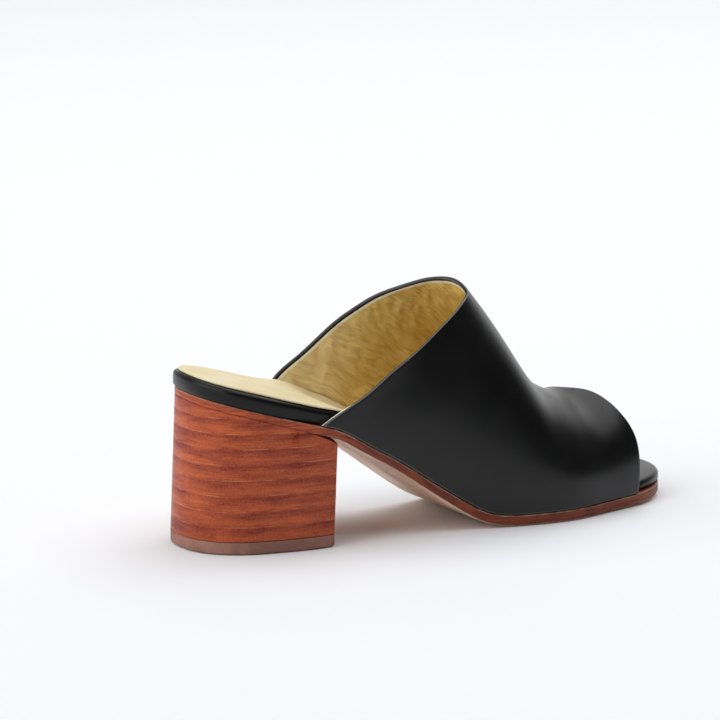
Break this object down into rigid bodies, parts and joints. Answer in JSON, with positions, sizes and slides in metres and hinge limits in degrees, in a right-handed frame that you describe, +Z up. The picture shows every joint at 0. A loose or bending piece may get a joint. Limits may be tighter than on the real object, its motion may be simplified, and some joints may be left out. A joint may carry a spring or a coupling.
{
  "type": "peep toe mule",
  "caption": "Women's slip-on open-toe mule for the right foot: a leather vamp over a leather footbed and outsole, on a block heel of stacked leather with a rubber top piece.",
  "frame": {"origin": "on the floor, under the middle of the shoe's bounding box", "axes": "+X from the heel to the toe, +Y to the medial side (the wearer's left), +Z up"},
  "size_m": [0.2398, 0.083, 0.103],
  "materials": {
    "black_leather": "smooth black calf, satin",
    "insole_leather": "smooth black leather wrapping, satin",
    "cream_leather": "plain cream lining leather, matte",
    "sole_leather": "red-brown stained edge, semi-gloss",
    "stacked_leather": "stacked leather layers, stained red-brown and polished",
    "brown_rubber": "matte brown rubber"
  },
  "bodies": {
    "root": {"upper": "black_leather", "insole": "insole_leather", "sock_lining": "cream_leather", "outsole": "sole_leather", "heel": "stacked_leather", "top_piece": "brown_rubber"}
  },
  "joints": []
}
